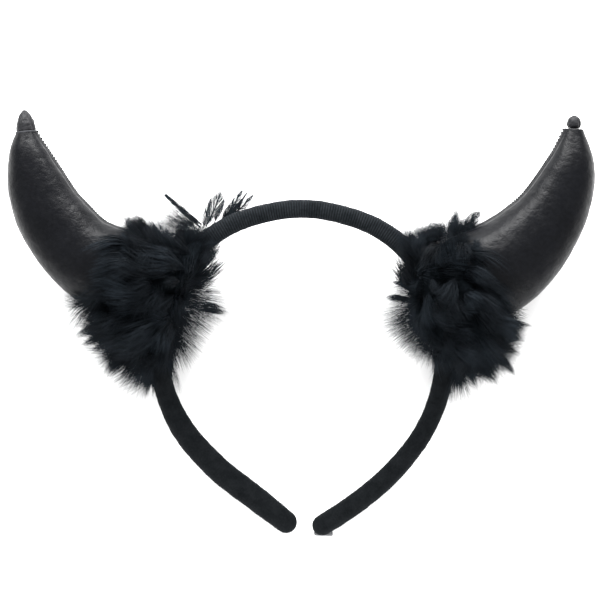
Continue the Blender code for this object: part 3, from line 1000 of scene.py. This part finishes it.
def down_piece(name, laid):
    """One piece joined from many laid tufts."""
    bm = bmesh.new()
    tones_with_painted_shade = []
    for one in laid:
        mesh = tufts[one.kind].copy()
        mesh.vertices.foreach_set("co", laid_corners(one).ravel())
        bm.from_mesh(mesh)
        bpy.data.meshes.remove(mesh)
        heights = upright[one.kind][:, 2]
        # painted shade: each strand darkens from its tip towards its root
        tones_with_painted_shade.append(one.tone * (PAINTED_ROOT_SHADE + (1 - PAINTED_ROOT_SHADE) * heights))
    piece = finish_piece(name, bm, down, smooth=False, turn_out=False)
    values = piece.data.attributes.new("tone", "FLOAT", "POINT")
    values.data.foreach_set("value", np.concatenate(tones_with_painted_shade))
    return piece


print("the down clears the floor by", FLOOR_CLEAR / MM, "mm")

# %% [markdown]
# ## The ruffs
#
# Down is bound round each horn's foot and bursts out to all sides, squashed only underneath. How
# far the dense part reaches is given by direction, in much the same tables as the solids have.
# The tufts that make the outline that a person remembers are listed one by one, in millimetres of
# the hoop's plane, fans and wisps by where they end, and the flat veils and vanes by both ends.

# %% The ruffs' reach
Ruff = namedtuple("Ruff", "middle reaches comb fans wisps veils vanes")
RUFF_FRONT = 35 * MM
RUFF_BACK = 40 * MM
RUFF_FULLNESS = 3.0
DEEPEST_IN_HORN = 40 * MM
RUFFS = {
    "left": Ruff(
        in_plane(-64.0, 9.0),
        ((0, 14), (26, 17), (42, 42), (52, 48), (64, 42), (80, 37), (100, 41), (114, 42), (126, 38),
         (150, 38), (176, 37), (190, 38), (200, 41), (216, 40), (236, 44), (252, 43), (264, 45),
         (278, 35), (290, 22), (306, 18), (336, 13)),
        Vector((-0.45, -0.10, 0.0)),
        ((-80, 46, 4), (-68, 46, 6), (-73, 44, -3), (-60, 43, 8), (-54, 42.5, 9), (-48, 44, 9),
         (-43, 43, 9), (-38.5, 41.5, 9), (-50, 46, 0), (-45, 47, -2), (-40, 46, -3), (-74, -33, -3),
         (-66, -34, 0), (-90, -22, 3), (-97, -8, 0), (-60, -28, 2), (-93, 34, 10), (-92, 26, 13),
         (-93, 18, 14), (-95, 9, 12), (-97, 1, 8), (-53, 25, 14), (-50, 30, 14), (-47, 35, 13),
         (-56, 18, 16), (-64, -24, 12), (-62, -14, 16), (-52, 33, 22), (-49, 27, 21), (-55, 22, 24),
         (-55, 29, 24)),
        ((-102, -7.5, 3), (-101, -11, -5), (-95.5, -15, 5), (-90, -25, 0), (-88.5, -27.5, 5),
         (-72.5, -36, 0), (-66, -36, 2), (-80, 48.5, 2), (-33, 4, 3), (-60, -30, -3)),
        (((-54, 24), (-39, 26.5)), ((-53, 21), (-37, 21)), ((-54, 18), (-35, 12)),
         ((-54, 12), (-32.5, 5)), ((-53, 8), (-34, 0)), ((-54, 4), (-40, -5)), ((-56, 1), (-42, -11)),
         ((-58, -3), (-45, -17)), ((-58, -5), (-50, -22)), ((-59, -6), (-55, -25)),
         ((-51, 41), (-66, 50)), ((-49, 42), (-61, 53)), ((-52, 39), (-68, 46)),
         ((-60, -18), (-60, -35)), ((-70, -18), (-76, -36)), ((-74, 32), (-76, 49)),
         ((-68, 32), (-67, 49)), ((-86, -8), (-101, -8)), ((-82, -14), (-94, -22))),
        (((-45.5, 43, 2), (-62, 57.3, 2), 0), ((-46, 42, 1), (-61.5, 56.6, 1), 0),
         ((-43.5, 42, -3), (-36.6, 58.4, -3), 2), ((-45, 41, -4), (-41.5, 55, -5), 1),
         ((-40, 43, -4), (-35.5, 55, -5), 1), ((-37, 43, -4), (-26.8, 59, -2), 1),
         ((-36, 43, -5), (-21.6, 56.4, -4), 1), ((-36, 43, -5), (-24, 57.5, -6), 0),
         ((-37, 43, -5), (-28, 52, -6), 2)),
    ),
    "right": Ruff(
        in_plane(64.3, 9.0),
        ((0, 31), (30, 29), (56, 32), (70, 41), (80, 43), (98, 38), (122, 38), (140, 29), (156, 20),
         (180, 17), (206, 19), (222, 20), (250, 25), (266, 40), (282, 42), (300, 45), (311, 47),
         (322, 43), (342, 40), (352, 32)),
        Vector((0.20, -0.30, 0.0)),
        ((70, 50, 3), (62, 47, 0), (56, 46, 5), (51, 45, 6), (47, 43.5, 8), (42, 41.5, 8),
         (44, 42, -2), (76, 46.5, -4), (50, 15, 5), (99, -12, 2), (96, -20, 4), (92, -26, 0),
         (84, -29, 3), (75, -31, -3), (78, 33, 12), (82, 25, 14), (86, 15, 15), (89, 5, 12),
         (51, 29, 14), (47, 31, 14), (54, 23, 16), (50, 20, 14), (46, 36, 12), (56, 34, 16),
         (73, 38, 12), (76, 30, 17), (75, 22, 20), (63, 30, 20), (68, 22, 24), (66, 36, 22),
         (70, 31, 24), (62, 24, 26), (66, 17, 28), (79, 26, 22), (77, 36, 10)),
        ((104, -2.2, 2), (101, -9.8, -4), (98, -16, 4), (97.5, -26.3, 0), (88.7, -30, 4),
         (79, -32, 0), (71.5, -34.5, 4), (66.6, -38, 0), (70.2, 52.8, 2), (79, 48.5, 0),
         (39.5, 17, -3), (37, 10, 4)),
        (((50, 27), (47, 19)), ((53, 18), (40, 16)), ((54, 14), (37.5, 9)), ((54, 8), (36, 1)),
         ((54, 4), (35.5, -5)), ((55, 1), (36, -11)), ((57, -4), (42, -14.5)), ((58, -5), (47, -18)),
         ((60, -6), (52, -21)), ((61, -7), (58, -22)), ((57, 2), (39, -8)), ((66, 34), (68, 51)),
         ((72, 34), (79, 48)), ((58, 32), (57, 47)), ((90, -6), (102, -8)), ((86, -16), (97, -22)),
         ((70, -20), (70, -37))),
        (((71, 38, 3), (79.8, 49, 2), 2), ((74, 38, 1), (77, 48, 0), 1)),
    ),
}


def reach_of(reaches, way, share=1.0):
    """How far the down stands out in a direction."""
    bearing = math.degrees(math.atan2(way.y, way.x))
    out = float(np.interp(bearing % 360, *zip(*reaches), period=360)) * MM
    level = math.hypot(way.x, way.y) / (share * out)
    upright_share = abs(way.z) / (share * (RUFF_FRONT if way.z > 0 else RUFF_BACK))
    return (level**RUFF_FULLNESS + upright_share**RUFF_FULLNESS) ** (-1 / RUFF_FULLNESS)


def horn_tree(side):
    """A search tree over a horn's skin, stood up in the hoop's plane."""
    bm = bmesh.new()
    bm.from_mesh(bpy.data.objects[f"horn_skin_{side}"].data)
    bmesh.ops.transform(bm, matrix=STAND_UP, verts=bm.verts)
    tree = BVHTree.FromBMesh(bm)
    bm.free()
    return tree


def lifted(point, tree, room):
    """The point, or the nearest one that stands this far off the horn."""
    surface, normal, _, _ = tree.find_nearest(point)
    short = room - (point - surface).dot(normal)
    return point + normal * short if 0 < short < DEEPEST_IN_HORN else point


print("ruffs:", list(RUFFS))

# %% [markdown]
# ## The ruffs' hearts
#
# Deep inside, the down is so dense that it lies in deep shade. A lumpy ball stands for that heart,
# two thirds as wide as the ruff, keeps light from shining through its middle, and has a colour
# darker than the down as painted shade.

# %% The ruffs' hearts
HEART_SHARE = 0.66
HEART_LUMPS = 0.14
HEART_LUMP_SCALE = 3.4
HEART_VARIETY = 50
HEART_SUBDIVISIONS = 5

for side, ruff in RUFFS.items():
    bm = bmesh.new()
    ball = bmesh.ops.create_icosphere(bm, subdivisions=HEART_SUBDIVISIONS, radius=1)["verts"]
    places = []
    for corner in ball:
        way = corner.co.normalized()
        lump = 1 + HEART_LUMPS * noise.noise(way * HEART_LUMP_SCALE + ruff.middle * HEART_VARIETY)
        places.append(ruff.middle + way * reach_of(ruff.reaches, way, HEART_SHARE) * lump)
    for corner, place in zip(ball, above_floor(places, FLOOR_CLEAR)):
        corner.co = place
    finish_piece(f"ruff_heart_{side}", bm, heart_down_painted_shade)

# %% [markdown]
# ## Filling the ruffs
#
# Two pieces of down make each ruff, so that none is too heavy. Fans start at evenly spread
# places in the heart and lean the way the ruff has been stroked, so they lie across one another
# and over the horn. The listed tufts, each doubled and shaken a little, then break the outline.

# %% Fill the ruffs
EVEN_FANS = 208
LOWEST = -0.62
SHAKE = 0.42
GREATEST_LENGTH = 24 * MM
EVEN_ROOTS = (0.48, 0.68)
EVEN_TIPS = (0.82, 1.0)
EVEN_ARCHES = (0.10, 0.28)
FAN_ROOTS = (0.45, 0.6)
WISP_ROOTS = (0.5, 0.65)
ROOT_ROOM = 0.5 * MM
TIP_ROOM = 1.5 * MM
VEIL_DEPTHS = (-4, 5)
RUFF_SEED = 23
chance = random.Random(RUFF_SEED)


def shaken(amount):
    """A random step of up to this much along each axis."""
    return Vector([chance.uniform(-amount, amount) for _ in range(3)])


def set_tuft(ruff, tree, kinds, far, root_share):
    """A tuft that ends about at a listed place."""
    far = lifted(in_plane(*far) + shaken(1.2 * MM), tree, TIP_ROOM)
    way = far - ruff.middle
    root = ruff.middle + way * root_share + shaken(1.5 * MM)
    bend = (root + far) / 2 + shaken(2.0 * MM)
    slimness = chance.uniform(0.8, 1.05) * min(1.0, GREATEST_LENGTH / (far - root).length)
    tone = chance.uniform(0.2, 1.0)
    kind = chance.choice(kinds)
    return Laid(kind, lifted(root, tree, ROOT_ROOM), bend, far, shaken(1.0), slimness, tone)


def set_flat(kind, root, tip, tone):
    """A veil or a vane between two listed places, facing the front."""
    root, tip = in_plane(*root) + shaken(0.6 * MM), in_plane(*tip) + shaken(0.6 * MM)
    bend = (root + tip) / 2 + shaken(1.5 * MM)
    return Laid(kind, root, bend, tip, Vector((0, 0, 1)) + shaken(0.12), 1.0, tone)


def even_fan(ruff, tree, number):
    """One of the evenly spread fans, which start in the heart and lean the way of the comb."""
    up = 1 + (LOWEST - 1) * (number + 0.5) / EVEN_FANS
    level = math.sqrt(1 - up * up)
    bearing = number * GOLDEN_TURN
    way = Vector((math.cos(bearing) * level, math.sin(bearing) * level, up))
    far = (way + ruff.comb * max(0.0, up) + shaken(SHAKE)).normalized()
    root = ruff.middle + way * reach_of(ruff.reaches, way) * chance.uniform(*EVEN_ROOTS)
    tip = ruff.middle + far * reach_of(ruff.reaches, far) * chance.uniform(*EVEN_TIPS)
    root = lifted(root, tree, ROOT_ROOM)
    tip = lifted(tip, tree, chance.uniform(1.0, 5.0) * MM)
    length = (tip - root).length
    half_way = (root + tip) / 2
    outward = (half_way - ruff.middle).normalized()
    bend = half_way + outward * chance.uniform(*EVEN_ARCHES) * length + shaken(0.12 * length)
    bend = lifted(bend, tree, 2.0 * MM)
    slimness = chance.uniform(0.85, 1.15) * min(1.0, GREATEST_LENGTH / length)
    tone = chance.uniform(0.1, 1.0) ** 1.5
    return Laid(chance.choice(FANS), root, bend, tip, shaken(1.0), slimness, tone)


for side, ruff in RUFFS.items():
    tree = horn_tree(side)
    laid = [even_fan(ruff, tree, number) for number in range(EVEN_FANS)]
    for far in ruff.fans:
        laid += [set_tuft(ruff, tree, FANS, far, chance.uniform(*FAN_ROOTS)) for _ in range(2)]
    for far in ruff.wisps:
        laid += [set_tuft(ruff, tree, WISPS, far, chance.uniform(*WISP_ROOTS)) for _ in range(2)]
    for root, tip in ruff.veils:
        for depth in VEIL_DEPTHS:
            kind = chance.choice(VEILS)
            laid.append(set_flat(kind, (*root, depth), (*tip, depth), chance.uniform(0.3, 0.9)))
    for root, tip, width in ruff.vanes:
        laid.append(set_flat(VANES[width], root, tip, chance.uniform(0.5, 1.0)))
    chance.shuffle(laid)
    half = len(laid) // 2
    first = down_piece(f"ruff_down_{side}_1", laid[:half])
    down_piece(f"ruff_down_{side}_2", laid[half:])
    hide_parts(f"ruff_{side}")
    print(side, "ruff:", len(laid), "tufts")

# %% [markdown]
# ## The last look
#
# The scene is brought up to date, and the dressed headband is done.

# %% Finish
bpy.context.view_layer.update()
